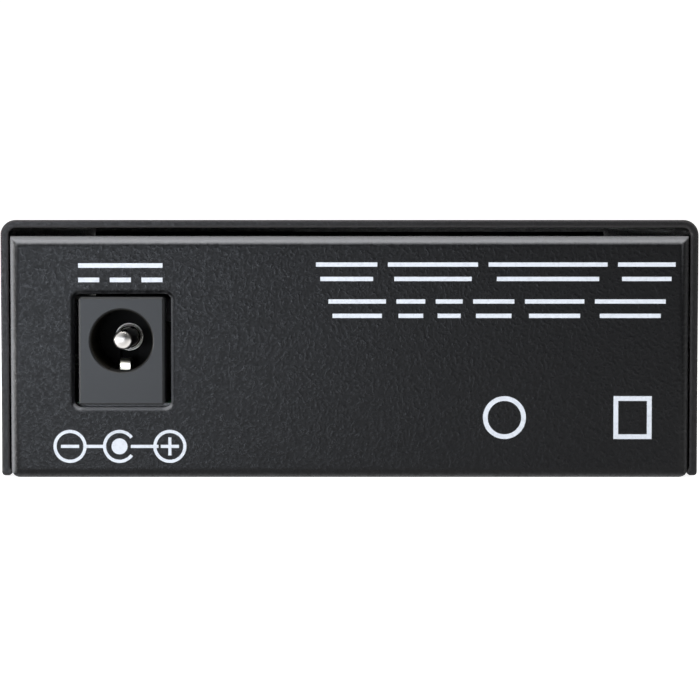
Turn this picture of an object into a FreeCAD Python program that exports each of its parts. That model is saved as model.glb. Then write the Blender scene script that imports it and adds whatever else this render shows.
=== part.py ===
import FreeCAD, Part
import math
import os

# Fibre media converter: a palm-sized steel box that joins a copper network port to a
# pair of fibre ports.  Millimetres, +Z up, origin in the middle of the underside.
# The power jack is on the rear panel (-Y), the ports are on the front panel (+Y).

V = FreeCAD.Vector
X, Y, Z = V(1, 0, 0), V(0, 1, 0), V(0, 0, 1)

# ---------------------------------------------------------------- case
case_width = 73.0
case_depth = 94.5              # over the panels
case_height = 27.0
sheet = 0.8                    # steel of both case halves
cover_bend_r = 1.6             # outside radius of the cover's two long bends
tray_bend_r = 1.1              # outside radius of every bend in the tray
side_gap = 0.2                 # cover wall to tray
top_gap = 0.9                  # tray to the underside of the cover
cover_lift = 0.2               # cover's lower edges above the underside of the tray
cover_short = 0.9              # cover's ends short of the panels
bead_reach = 0.24              # inward bead along the cover's lower edges
bead_height = 0.75
bead_r = 0.35
lip_depth = 6.0                # turned-in lips round both panels
side_wall_height = 8.0         # low walls along the floor
relief_slit = 0.4              # between those walls and the panels' side lips
window_corner_r = 0.6          # corners of the rear panel's window
window_edge = 0.3              # and its broken edge

# ---------------------------------------------------------------- vents and case screws
vent_rows = 2
vent_count = 10
vent_pitch = 4.0
vent_width = 1.6
vent_height = 6.4
vent_bridge = 1.6              # metal between the two rows
vent_top = 2.8                 # upper row below the top of the case
thread_r = 1.5
thread_gap = 0.05
case_screw_head_r = 2.5
case_screw_length = 4.0
case_screw_y = 0.0             # from the middle of the case
case_screw_z = 4.2
recess_blade = 0.55            # arm of the cross recess

# ---------------------------------------------------------------- board and its posts
board_thickness = 1.6
board_rear_gap = 1.6
board_front_gap = 2.4          # room to slide the jack out of its window
board_side_gap = 0.7
post_height = 5.35
post_across_flats = 5.0
post_floor = 1.0               # solid metal under the tapped hole
post_inset = 4.5               # from the board's side edges
rear_post_y = 17.0             # from the board's rear edge
front_post_y = 24.0            # from the board's front edge
board_hole_r = 1.7
pan_head_r = 2.75
pan_head_height = 1.9
pan_screw_length = 5.0
tail_below_board = 1.4         # solder tails under the board
tail_gap = 0.12                # board slot round a tail

# ---------------------------------------------------------------- power jack
jack_inset = 11.8              # from the side of the tray
jack_width = 8.9
jack_height = 11.25
jack_depth = 14.2
jack_proud = 1.3               # past the rear panel
jack_face_depth = 3.4
jack_barrel_r = 4.2
jack_barrel_depth = 7.9
jack_rear_height = 8.2
jack_edge = 0.2
jack_axis_height = 6.7         # above the board
jack_window_side = 0.6         # window clearance beside the jack
jack_window_over = 0.3         # and above and below it
bore_r = 3.25
bore_depth = 9.5
bore_chamfer = 0.15
jack_pin_r = 1.0
jack_pin_setback = 1.3         # tip behind the jack's face
jack_pin_dome = [(0.5, 0.0), (0.87, 0.25), (1.0, 0.7)]     # parts of the radius
jack_collar_r = 1.5
jack_collar_height = 0.5
jack_neck_side = 1.4           # square neck that keeps the pin from turning
neck_fit = 0.02
jack_slot_width = 2.0
jack_slot_gap = 0.2
leaf_width = 1.1
leaf_thickness = 0.3
leaf_rise = 0.85               # contact hump inside the bore
leaf_hump_depth = 6.0          # behind the jack's face
leaf_droop = 0.95              # front end below the hump
tab_width = 2.2
tab_thickness = 0.4

# ---------------------------------------------------------------- copper port
rj45_width = 16.0
rj45_height = 13.4
rj45_depth = 16.0
rj45_proud = 0.8
shield = 0.25
plug_width = 11.9
plug_height = 6.9
plug_floor = 3.0               # plug space above the board
plug_depth = 13.5
key_width, key_height = 6.4, 1.3
latch_width, latch_height = 3.4, 0.9
contact_count = 8
contact_pitch = 1.02
contact_width = 0.46
contact_thickness = 0.3
contact_reach = 2.45           # free ends below the roof of the plug space
contact_run = 8.0
contact_setback = 3.2          # bend of the wires behind the port's face
contact_gap = 0.15
contact_turn = 0.9             # drop before the sprung end slopes back
tail_row_y = 0.75              # first row of tails from the insert's rear
tail_row_pitch = 2.54
port_window_gap = 0.25
finger_length = 3.2            # spring fingers that earth the shield on the panel
finger_width = 2.4
finger_reach = 0.2

# ---------------------------------------------------------------- fibre module
fibre_inset = 19.5             # from the side of the tray
fibre_width = 25.4
fibre_nose_height = 10.2
fibre_nose_depth = 13.8
fibre_body_height = 9.8
fibre_body_depth = 25.5
fibre_proud = 1.3
port_pitch = 12.7
port_width = 9.2
port_height = 7.6
port_depth = 12.4
port_chamfer = 0.4
keyway_width = 2.6
keyway_depth = 0.8
flange_reach = 0.8
flange_thickness = 1.2
fibre_bore_r = 1.25
fibre_bore_depth = 6.5
barrel_r = 2.3
barrel_reach = 7.2             # barrel in front of the port's rear wall
barrel_gap = 0.1
arm_offset = 3.2               # latch arms beside each barrel
arm_thickness = 0.8
arm_height = 3.2
arm_length = 7.6
hook_length = 1.6
hook_reach = 0.45
hook_lead = 0.3
pin_count = 9
pin_pitch = 2.54
pin_side = 0.46
pin_from_rear = 2.2

# ---------------------------------------------------------------- switch and lights
dip_inset = 9.0                # from the side of the tray
dip_ways = 4
dip_pitch = 2.54
dip_margin = 0.77              # body past the outer levers' pitch
dip_height = 6.2
dip_depth = 9.0
dip_proud = 0.2
dip_front_wall = 1.0
dip_cavity_depth = 2.0
dip_tail_side = 0.5
dip_tail_inset = 0.9           # from the body's rear
lever_width = 1.2
lever_height = 1.4
lever_proud = 0.7
lever_edge = 0.2
lever_foot_width = 1.6
lever_foot_height = 2.2
lever_foot_depth = 1.6
lever_travel = 1.4
lever_gap = 0.1
light_columns = 3
light_pitch = 4.0
light_rise = 9.4               # lower row of lights above the board
light_row_pitch = 4.0
light_width, light_height = 2.6, 1.8
light_gap = 0.15
light_proud = 0.3
guide_reach = 13.5             # panel face to the lower row's legs
guide_step = 4.0               # upper row's legs further back
guide_plate = 1.0
guide_plate_rise = 2.7
guide_foot = 1.6
guide_peg = 1.0
guide_air = 0.3                # light source to guide
led_length, led_width, led_height = 2.0, 1.25, 0.8

# ---------------------------------------------------------------- parts on the board
chip_from_rear = 46.0
chip_side, chip_height = 7.0, 1.4
chip_legs = 4                  # on each side
chip_leg_pitch = 1.27
transformer_gap = 4.0          # behind the copper port
transformer_length, transformer_width, transformer_height = 12.7, 7.2, 5.6
transformer_legs = 4           # on each long side
transformer_leg_pitch = 2.54
leg_width = 0.4
leg_thickness = 0.2
leg_reach = 1.1
leg_bury = 0.2
leg_height = 0.6
package_lift = 0.1
package_edge = 0.2
memory_shift = 15.0            # beside the converter chip
memory_length, memory_width, memory_height = 4.9, 3.9, 1.5
memory_legs = 4
memory_leg_pitch = 1.27
crystal_from_rear = 34.0
crystal_length, crystal_width, crystal_height = 11.0, 4.6, 3.4
crystal_rim = 0.4
power_shift = 15.0             # power parts beside the jack
capacitor_from_rear = 9.0
capacitor_r = 3.15
capacitor_height = 11.0
capacitor_bung = 1.2
capacitor_groove = 0.35
inductor_from_rear = 19.5
inductor_side, inductor_height = 7.0, 3.0
inductor_disc_r, inductor_disc_rise = 2.6, 0.4
inductor_corner = 1.2
regulator_shift = 8.4          # beside the inductor
regulator_length, regulator_width, regulator_height = 6.5, 3.5, 1.6
regulator_legs = 3
regulator_leg_pitch = 2.3
regulator_tab_width, regulator_tab_reach, regulator_tab_height = 3.0, 1.6, 0.6

# ---------------------------------------------------------------- places worked out
rear_face, front_face = -case_depth / 2, case_depth / 2
cover_depth = case_depth - 2 * cover_short
tray_width = case_width - 2 * (sheet + side_gap)
tray_height = case_height - sheet - top_gap
board_under = sheet + post_height
board_top = board_under + board_thickness
board_rear = rear_face + sheet + board_rear_gap
board_front = front_face - sheet - board_front_gap
board_width = tray_width - 2 * (sheet + board_side_gap)
tail_end = board_under - tail_below_board
post_places = [V(-board_width / 2 + post_inset, board_rear + rear_post_y, 0),
               V(board_width / 2 - post_inset, board_front - front_post_y, 0)]
case_screw_places = [V(side * case_width / 2, case_screw_y, case_screw_z) for side in (-1, 1)]
jack_x = -tray_width / 2 + jack_inset
jack_face = rear_face - jack_proud
jack_rear = jack_face + jack_depth
jack_axis = board_top + jack_axis_height
bore_end = jack_face + bore_depth
leaf_tail_y = bore_end + tab_width / 2
leaf_front_y = jack_face + leaf_hump_depth - 2 * leaf_rise
switch_tail_y = leaf_front_y + tab_width / 2
power_x = jack_x + power_shift
fibre_x = -tray_width / 2 + fibre_inset
dip_width = dip_ways * dip_pitch + 2 * dip_margin
dip_x = tray_width / 2 - dip_inset
rj45_x = (fibre_x + fibre_width / 2 + dip_x - dip_width / 2) / 2     # midway between the two
rj45_face = front_face + rj45_proud
rj45_rear = rj45_face - rj45_depth
plug_bottom = board_top + plug_floor
plug_roof = plug_bottom + plug_height
insert_rear = rj45_rear + shield
insert_roof = board_top + rj45_height - shield
wire_roof = insert_roof - contact_gap            # upper face of the wires over the insert
wire_turn = rj45_face - contact_setback
fibre_face = front_face + fibre_proud
fibre_nose_rear = fibre_face - fibre_nose_depth
fibre_rear = fibre_nose_rear - fibre_body_depth
fibre_axis = board_top + fibre_nose_height / 2
port_end = fibre_face - port_depth
pin_y = fibre_rear + pin_from_rear
dip_face = front_face + dip_proud
dip_rear = dip_face - dip_depth
dip_middle = board_top + dip_height / 2
lever_rest = dip_middle - lever_travel / 2
dip_tail_ys = [dip_rear + dip_tail_inset, dip_rear + dip_tail_inset + dip_pitch]
light_rows = [(board_top + light_rise + row * light_row_pitch,
               front_face - guide_reach - row * guide_step) for row in (0, 1)]
guide_foot_y = front_face - guide_reach - guide_step / 2


def spread(count, pitch, middle):
    """Evenly spaced places about a middle."""
    return [middle + (n - (count - 1) / 2) * pitch for n in range(count)]


contact_xs = spread(contact_count, contact_pitch, rj45_x)
contact_ys = [insert_rear + tail_row_y + (n % 2) * tail_row_pitch for n in range(contact_count)]
port_xs = spread(2, port_pitch, fibre_x)
pin_xs = spread(pin_count, pin_pitch, fibre_x)
lever_xs = spread(dip_ways, dip_pitch, dip_x)
light_xs = spread(light_columns, light_pitch, dip_x)
guide_foot_xs = spread(2, light_pitch, dip_x)


# ---------------------------------------------------------------- shared shapes
def block(x, y, z):
    """Box between three pairs of coordinates."""
    return Part.makeBox(x[1] - x[0], y[1] - y[0], z[1] - z[0], V(x[0], y[0], z[0]))


def about(middle, length):
    """Pair of coordinates, half the length to each side of the middle."""
    return middle - length / 2, middle + length / 2


def rod(radius, start, end):
    return Part.makeCylinder(radius, (end - start).Length, start, end - start)


def prism(outline, travel):
    """Flat outline pushed along travel."""
    return Part.Face(Part.makePolygon(outline + outline[:1])).extrude(travel)


def turned(profile, at=V(0, 0, 0), toward=Z):
    """Solid of revolution from (radius, height) pairs, its +Z turned toward a direction."""
    outline = [V(r, 0, h) for r, h in profile]
    solid = Part.Face(Part.makePolygon(outline + outline[:1])).revolve(V(0, 0, 0), Z, 360)
    return placed(solid, at, toward)


def placed(shape, at, toward=Z):
    moved = shape.copy()
    moved.Placement = FreeCAD.Placement(at, FreeCAD.Rotation(Z, toward))
    return moved


def joined(shapes):
    """One solid out of shapes that meet or overlap."""
    return shapes[0].fuse(shapes[1:]).removeSplitter()


def straight_edges(shape, axis, wanted=lambda middle: True):
    """Straight edges along an axis whose middle point is wanted."""
    found = []
    for edge in shape.Edges:
        if not isinstance(edge.Curve, Part.Line):
            continue
        start, end = [vertex.Point for vertex in edge.Vertexes]
        if abs((end - start).normalize().dot(axis)) > 0.999 and wanted((start + end) / 2):
            found.append(edge)
    return found


def strip(path, thickness, width, x):
    """Flat strip of metal bent along a path of (y, z) points, its width centred on x."""
    points = [V(x - width / 2, y, z) for y, z in path]
    sides = [(b - a).normalize().cross(X) for a, b in zip(points, points[1:])]
    left, right = [], []
    for point, before, after in zip(points, sides[:1] + sides, sides + sides[-1:]):
        mitre = (before + after) / (1 + before.dot(after)) * (thickness / 2)
        left.append(point + mitre)
        right.append(point - mitre)
    return prism(left + right[::-1], X * width)


# ---------------------------------------------------------------- case
def tray_block(inset):
    """The tray's outer form, or its inner one at the sheet's thickness, its bends mitred."""
    solid = block(about(0, tray_width - 2 * inset), about(0, case_depth - 2 * inset),
                  (inset, tray_height - inset))
    bends = (straight_edges(solid, X), straight_edges(solid, Z),
             straight_edges(solid, Y, lambda m: m.z < tray_height / 2))
    forms = [solid.makeFillet(tray_bend_r - inset, edges) for edges in bends]
    return forms[0].common(forms[1]).common(forms[2])


def jack_window():
    hole = block(about(jack_x, jack_width + 2 * jack_window_side), about(rear_face, 4 * sheet),
                 (board_top - jack_window_over, board_top + jack_height + jack_window_over))
    return hole.makeFillet(window_corner_r, straight_edges(hole, Y))


def front_windows():
    """Openings of the front panel: fibre ports, copper port, switch and lights."""
    depth = about(front_face, 4 * sheet)
    low = board_top - port_window_gap
    shapes = [block(about(middle, width + 2 * port_window_gap), depth,
                    (low, board_top + height + port_window_gap))
              for middle, width, height in ((fibre_x, fibre_width, fibre_nose_height),
                                            (rj45_x, rj45_width, rj45_height),
                                            (dip_x, dip_width, dip_height))]
    shapes += [block(about(x, light_width + 2 * light_gap), depth,
                     about(z, light_height + 2 * light_gap))
               for x in light_xs for z, _ in light_rows]
    return shapes


def base_tray():
    """Floor, both panels and their lips, folded from one sheet."""
    wall_end = case_depth / 2 - lip_depth
    wide = about(0, 2 * case_width)
    tray = tray_block(0).cut(tray_block(sheet))
    tray = tray.cut(block(wide, about(0, 2 * wall_end), (side_wall_height, case_height)))
    for end in (-1, 1):
        slit = about(end * (wall_end - relief_slit / 2), relief_slit)
        tray = tray.cut(block(wide, slit, (tray_bend_r, case_height / 2)))
    tray = tray.cut(jack_window())
    rim = [edge for edge in tray.Edges
           if abs(edge.CenterOfMass.y - rear_face) < 1e-4
           and abs(edge.CenterOfMass.x - jack_x) < jack_width
           and abs(edge.CenterOfMass.z - jack_axis) < jack_height]
    tray = tray.makeChamfer(window_edge, rim)
    holes = [rod(thread_r + thread_gap, place, V(0, place.y, place.z))
             for place in case_screw_places]
    return tray.cut(front_windows() + holes).removeSplitter()


def top_cover():
    """Top and both sides, folded from one sheet, with a bead along the lower edges."""
    half, inner = case_width / 2, case_width / 2 - sheet
    outside = block((-half, half), about(0, cover_depth), (cover_lift, case_height))
    outside = outside.makeFillet(cover_bend_r, straight_edges(outside, Y, lambda m: m.z > sheet))
    inside = block((-inner, inner), about(0, 2 * case_depth), (-1, case_height - sheet))
    inside = inside.makeFillet(cover_bend_r - sheet,
                               straight_edges(inside, Y, lambda m: m.z > sheet))
    cover = outside.cut(inside)
    for side in (-1, 1):
        outline = [(inner, 0), (inner - bead_reach, 0),
                   (inner - bead_reach, bead_height - bead_reach), (inner, bead_height)]
        points = [V(side * x, -cover_depth / 2, cover_lift + z) for x, z in outline]
        cover = cover.fuse(prism(points, Y * cover_depth))
    cover = cover.removeSplitter()
    low = straight_edges(cover, Y, lambda m: abs(m.z - cover_lift) < 1e-4)
    cover = cover.makeFillet(bead_r, low)
    first_row = case_height - vent_top - vent_height / 2
    slots = [block(about(0, 2 * case_width), about(y, vent_width),
                   about(first_row - row * (vent_height + vent_bridge), vent_height))
             for row in range(vent_rows) for y in spread(vent_count, vent_pitch, 0)]
    holes = [case_screw(place, thread_gap) for place in case_screw_places]
    return cover.cut(slots + holes)


def cross_recess(reach, depth):
    """Tapered cross for a screwdriver, its mouth at z = 0."""
    side = -recess_blade / 2
    blade = prism([V(-reach, side, 0.1), V(reach, side, 0.1),
                   V(reach * 0.4, side, -depth), V(-reach * 0.4, side, -depth)],
                  Y * recess_blade)
    crossed = blade.copy()
    crossed.rotate(V(0, 0, 0), Z, 90)
    return blade.fuse(crossed)


def case_screw(place, gap=0.0):
    """Countersunk screw in the side of the case; with a gap, the hole that clears it."""
    head, shank = case_screw_head_r + gap, thread_r + gap
    seat = shank - head
    end = -case_screw_length
    screw = turned([(0, gap), (head, gap), (head, 0), (shank, seat), (shank, end), (0, end)]
                   if gap else [(0, 0), (head, 0), (shank, seat), (shank, end), (0, end)])
    if not gap:
        screw = screw.cut(cross_recess(thread_r, thread_r * 0.75))
    return placed(screw, place, X * math.copysign(1, place.x))


def cover_screws():
    return Part.makeCompound([case_screw(place) for place in case_screw_places])


# ---------------------------------------------------------------- board and its posts
def board_standoffs():
    """Hexagonal tapped posts welded to the floor, one each side of the board."""
    corner_r = post_across_flats / math.sqrt(3)
    posts = []
    for place in post_places:
        corners = [place + V(corner_r * math.cos(n * math.pi / 3),
                             corner_r * math.sin(n * math.pi / 3), sheet) for n in range(6)]
        tapped = rod(thread_r + thread_gap, place + Z * (sheet + post_floor), place + Z * board_top)
        posts.append(prism(corners, Z * post_height).cut(tapped))
    return Part.makeCompound(posts)


def board_screws():
    """Pan-head screws that hold the board down on its posts."""
    end = -min(pan_screw_length, board_thickness + post_height - post_floor)
    screw = turned([(0, end), (thread_r, end), (thread_r, 0), (pan_head_r, 0),
                    (pan_head_r, pan_head_height), (0, pan_head_height)])
    screw = screw.cut(placed(cross_recess(thread_r, thread_r * 0.75), Z * pan_head_height))
    return Part.makeCompound([placed(screw, place + Z * board_top) for place in post_places])


def board_slot(x, y, side_x, side_y):
    """Slot right through the board for a tail of the given section."""
    return block(about(x, side_x + 2 * tail_gap), about(y, side_y + 2 * tail_gap),
                 (board_under - 1, board_top + 1))


def circuit_board():
    board = block(about(0, board_width), (board_rear, board_front), (board_under, board_top))
    holes = [rod(board_hole_r, place, place + Z * case_height) for place in post_places]
    holes.append(board_slot(jack_x, jack_rear + tab_thickness / 2, tab_width, tab_thickness))
    holes += [board_slot(jack_x, y, leaf_width, leaf_thickness)
              for y in (leaf_tail_y, switch_tail_y)]
    holes += [board_slot(x, y, contact_width, contact_thickness)
              for x, y in zip(contact_xs, contact_ys)]
    holes += [board_slot(x, pin_y, pin_side, pin_side) for x in pin_xs]
    holes += [board_slot(x, y, dip_tail_side, dip_tail_side) for x in lever_xs
              for y in dip_tail_ys]
    holes += [board_slot(x, guide_foot_y, guide_peg, guide_peg) for x in guide_foot_xs]
    return board.cut(holes)


# ---------------------------------------------------------------- power jack
def jack_housing():
    """Moulded body: square face, round barrel, low rear block, bore and contact slot."""
    face_end = jack_face + jack_face_depth
    barrel_end = face_end + jack_barrel_depth
    face = block(about(jack_x, jack_width), (jack_face, face_end),
                 (board_top, board_top + jack_height))
    edges = straight_edges(face, Y) + [e for e in face.Edges if e.CenterOfMass.y < jack_face + 1e-4]
    face = face.makeChamfer(jack_edge, edges)
    mouth = V(jack_x, jack_face, jack_axis)
    barrel = rod(jack_barrel_r, V(jack_x, face_end, jack_axis), V(jack_x, barrel_end, jack_axis))
    cradle = block(about(jack_x, 2 * jack_barrel_r), (face_end, barrel_end), (board_top, jack_axis))
    rear = block(about(jack_x, jack_width), (barrel_end, jack_rear),
                 (board_top, board_top + jack_rear_height))
    body = joined([face, barrel, cradle, rear])
    bore = turned([(0, -1), (bore_r + 1 + bore_chamfer, -1), (bore_r, bore_chamfer),
                   (bore_r, bore_depth), (0, bore_depth)], mouth, Y)
    neck_side = jack_neck_side + 2 * neck_fit
    neck = block(about(jack_x, neck_side), (jack_face, jack_rear + 1), about(jack_axis, neck_side))
    slot = block(about(jack_x, jack_slot_width),
                 (leaf_front_y - leaf_thickness - jack_slot_gap,
                  leaf_tail_y + leaf_thickness / 2 + jack_slot_gap),
                 (board_top - 1, jack_axis))
    return body.cut([bore, neck, slot])


def jack_centre_pin():
    """Turned pin with a domed tip and a collar, its neck riveted to the solder tab."""
    length = bore_depth - jack_pin_setback
    at = V(jack_x, jack_face + jack_pin_setback, jack_axis)
    pin = turned([(0, 0)] + [(jack_pin_r * r, jack_pin_r * h) for r, h in jack_pin_dome]
                 + [(jack_pin_r, length - jack_collar_height),
                    (jack_collar_r, length - jack_collar_height), (jack_collar_r, length),
                    (0, length)], at, Y)
    neck = block(about(jack_x, jack_neck_side), (bore_end, jack_rear + tab_thickness),
                 about(jack_axis, jack_neck_side))
    tab = block(about(jack_x, tab_width), (jack_rear, jack_rear + tab_thickness),
                (tail_end, jack_axis + tab_width / 2))
    return joined([pin, neck, tab])


def jack_spring_contact():
    """Sprung leaf whose hump presses on the sleeve of the plug."""
    y = jack_face + leaf_hump_depth
    hump = jack_axis - bore_r + leaf_rise - leaf_thickness / 2
    heel = board_top + 2 * (jack_axis_height - bore_r) / 3
    path = [(leaf_tail_y, tail_end), (leaf_tail_y, heel), (y + leaf_rise, hump), (y, hump),
            (leaf_front_y, hump - leaf_droop)]
    leaf = strip(path, leaf_thickness, leaf_width, jack_x)
    top = straight_edges(leaf, X, lambda m: m.z > hump)
    return leaf.makeFillet(leaf_thickness, top)


def jack_switch_contact():
    """Fixed contact that the leaf's front end rests on while no plug is in."""
    rest = jack_axis - bore_r + leaf_rise - leaf_droop - 2 * leaf_thickness
    path = [(switch_tail_y, tail_end), (switch_tail_y, rest), (leaf_front_y, rest)]
    return strip(path, leaf_thickness, leaf_width, jack_x)


# ---------------------------------------------------------------- copper port
def plug_space(y, margin):
    """Stepped opening for a plug and its latch."""
    key_floor = plug_bottom - key_height
    steps = [(plug_width, plug_bottom, plug_roof + margin), (key_width, key_floor, plug_roof),
             (latch_width, key_floor - latch_height, plug_roof)]
    return joined([block(about(rj45_x, width + 2 * margin), y, (low - margin, high))
                   for width, low, high in steps])


def rj45_housing():
    """Moulded insert: plug space, recess and comb slot for the wires."""
    wires = about(rj45_x, contact_count * contact_pitch + contact_width)
    wire_floor = wire_roof - contact_thickness
    body = block(about(rj45_x, rj45_width - 2 * shield), (insert_rear, rj45_face - shield),
                 (board_top, insert_roof))
    riser_depth = 2 * tail_row_y + tail_row_pitch
    cuts = [plug_space((rj45_face - plug_depth, rj45_face), 0),
            block(wires, (insert_rear - 1, wire_turn), (wire_floor, insert_roof + 1)),
            block(wires, (wire_turn - contact_run, wire_turn), (plug_roof - 1, insert_roof)),
            block(wires, (insert_rear - 1, insert_rear + riser_depth), (board_top - 1, insert_roof))]
    return body.cut(cuts)


def rj45_contact(n):
    """One of eight wires: tail, riser, run over the top, and the sprung end in the plug space."""
    z = wire_roof - contact_thickness / 2
    turn = wire_turn - contact_thickness
    path = [(contact_ys[n], tail_end), (contact_ys[n], z), (turn, z), (turn, z - contact_turn),
            (turn - contact_run + 2 * contact_thickness, plug_roof - contact_reach)]
    return strip(path, contact_thickness, contact_width, contact_xs[n])


def rj45_shield():
    """Tinned sheet folded round the insert, with fingers that press on the panel."""
    x, z = about(rj45_x, rj45_width), (board_top, board_top + rj45_height)
    skin = block(x, (rj45_rear, rj45_face), z)
    hollow = block((x[0] + shield, x[1] - shield), (insert_rear, rj45_face - shield),
                   (z[0] - 1, insert_roof))
    skin = skin.cut([hollow, plug_space((rj45_face - 2 * shield, rj45_face + 1), shield / 2)])
    start = front_face - sheet - finger_length
    bulge = [(start, 0), (start + finger_length / 2, finger_reach), (start + finger_length, 0)]
    fingers = []
    for side in (-1, 1):
        points = [V(rj45_x + side * (rj45_width / 2 + out), y, board_top + rj45_height / 2)
                  for y, out in bulge]
        fingers.append(prism(points, Z * finger_width))
        points = [V(rj45_x + side * rj45_width / 4, y, z[1] + out) for y, out in bulge]
        fingers.append(prism(points, X * side * finger_width))
    return joined([skin] + fingers)


# ---------------------------------------------------------------- fibre module
def fibre_receptacle():
    """Twin socket: chamfered mouths with keyways, and two latch arms beside each barrel."""
    nose = block(about(fibre_x, fibre_width), (fibre_nose_rear, fibre_face),
                 (board_top, board_top + fibre_nose_height))
    nose = nose.makeChamfer(port_chamfer / 2, straight_edges(nose, Y, lambda m: m.z > board_top))
    flange_front = front_face - sheet - port_window_gap
    flange = block(about(fibre_x, fibre_width + 2 * flange_reach),
                   (flange_front - flange_thickness, flange_front),
                   (board_top - port_window_gap, board_top + fibre_nose_height + flange_reach))
    nose = nose.fuse(flange)
    arms = []
    for x in port_xs:
        depth = (port_end, fibre_face + 1)
        keyway_top = fibre_axis + port_height / 2 + keyway_depth
        hole_side = 2 * (barrel_r + barrel_gap)
        hole = block(about(x, hole_side), (fibre_nose_rear - 1, fibre_face),
                     about(fibre_axis, hole_side))
        nose = nose.cut([block(about(x, port_width), depth, about(fibre_axis, port_height)),
                         block(about(x, keyway_width), depth, (fibre_axis, keyway_top)),
                         port_mouth(x), hole])
        arms += [latch_arm(x, side) for side in (-1, 1)]
    return joined([nose] + arms)


def port_mouth(x):
    """Chamfer round a socket's mouth."""
    rings = []
    for depth in (0, port_chamfer):
        w, h = port_width / 2 + port_chamfer - depth, port_height / 2 + port_chamfer - depth
        corners = [(-w, -h), (w, -h), (w, h), (-w, h), (-w, -h)]
        rings.append(Part.makePolygon([V(x + a, fibre_face - depth, fibre_axis + b)
                                       for a, b in corners]))
    return Part.makeLoft(rings, True)


def latch_arm(x, side):
    """Sprung arm with a hook that snaps over the plug's shoulder."""
    root = port_end - barrel_gap
    tip = port_end + arm_length
    inner, outer = arm_offset - arm_thickness / 2, arm_offset + arm_thickness / 2
    hook = inner - hook_reach
    outline = [(outer, root), (outer, tip - hook_lead), (outer - hook_lead, tip), (inner, tip),
               (hook, tip - hook_length / 2), (hook, tip - hook_length),
               (inner, tip - hook_length), (inner, root)]
    points = [V(x + side * a, y, fibre_axis - arm_height / 2) for a, y in outline]
    return prism(points, Z * arm_height)


def fibre_module_housing():
    """Potted body behind the twin socket."""
    body = block(about(fibre_x, fibre_width), (fibre_rear, fibre_nose_rear),
                 (board_top, board_top + fibre_body_height))
    top = [e for e in body.Edges if e.CenterOfMass.z > board_top + fibre_body_height - 1e-4]
    return body.makeChamfer(port_chamfer, top)


def fibre_barrel(x):
    """Turned barrel whose bore lines up the plug's ferrule, seated on the module's body."""
    front = port_end + barrel_reach
    floor = front - fibre_bore_depth
    return turned([(fibre_bore_r, front), (barrel_r, front), (barrel_r, fibre_nose_rear),
                   (0, fibre_nose_rear), (0, floor), (fibre_bore_r, floor)],
                  V(x, 0, fibre_axis), Y)


def fibre_module_pins():
    """Row of square pins soldered through the board."""
    return Part.makeCompound([block(about(x, pin_side), about(pin_y, pin_side),
                                    (tail_end, board_top)) for x in pin_xs])


# ---------------------------------------------------------------- switch
def dip_switch_housing():
    """Moulded switch body with a slot and a cavity for each lever."""
    body = block(about(dip_x, dip_width), (dip_rear, dip_face), (board_top, board_top + dip_height))
    slot_height = lever_height + lever_travel + 2 * lever_gap
    cavity_height = lever_foot_height + lever_travel + 2 * lever_gap
    cavity_front = dip_face - dip_front_wall
    cavity_y = (cavity_front - dip_cavity_depth, cavity_front)
    cuts = []
    for x in lever_xs:
        cuts += [block(about(x, lever_width + 2 * lever_gap), (cavity_front - 1, dip_face + 1),
                       about(dip_middle, slot_height)),
                 block(about(x, lever_foot_width + 2 * lever_gap), cavity_y,
                       about(dip_middle, cavity_height))]
    return body.cut(cuts)


def dip_lever(x):
    """Sliding lever at the lower end of its travel, held by its foot behind the front wall."""
    foot_front = dip_face - dip_front_wall - lever_gap
    knob = block(about(x, lever_width), (foot_front, dip_face + lever_proud),
                 about(lever_rest, lever_height))
    knob = knob.makeChamfer(lever_edge, straight_edges(knob, X, lambda m: m.y > dip_face))
    foot = block(about(x, lever_foot_width), (foot_front - lever_foot_depth, foot_front),
                 about(lever_rest, lever_foot_height))
    return joined([knob, foot])


def dip_terminals():
    """Two rows of square solder tails under the switch."""
    return Part.makeCompound([block(about(x, dip_tail_side), about(y, dip_tail_side),
                                    (tail_end, board_top)) for x in lever_xs for y in dip_tail_ys])


# ---------------------------------------------------------------- lights
def light_guide():
    """Clear moulding: six guides with mirrored elbows, tied by a plate on two feet."""
    leg_end = board_top + led_height + guide_air
    half = light_height / 2
    front = front_face + light_proud
    pieces = []
    for x in light_xs:
        for z, y in light_rows:
            outline = [(y - half, leg_end), (y + half, leg_end), (y + half, z - half),
                       (front, z - half), (front, z + half), (y + half, z + half),
                       (y - half, z - half)]
            pieces.append(prism([V(x - light_width / 2, a, b) for a, b in outline],
                                X * light_width))
    plate_low = board_top + guide_plate_rise
    pieces.append(block((light_xs[0] - light_width / 2, light_xs[-1] + light_width / 2),
                        (light_rows[1][1] - half, light_rows[0][1] + half),
                        (plate_low, plate_low + guide_plate)))
    for x in guide_foot_xs:
        pieces.append(block(about(x, guide_foot), about(guide_foot_y, guide_foot),
                            (board_top, plate_low)))
        pieces.append(block(about(x, guide_peg), about(guide_foot_y, guide_peg),
                            (board_under, board_top)))
    return joined(pieces)


def status_led(x, y):
    """Surface-mounted light source: base with a narrower window on it."""
    middle = board_top + led_height / 2
    base = block(about(x, led_length), about(y, led_width), (board_top, middle))
    window = block(about(x, led_length * 0.7), about(y, led_width), (middle, board_top + led_height))
    return joined([base, window])


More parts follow.
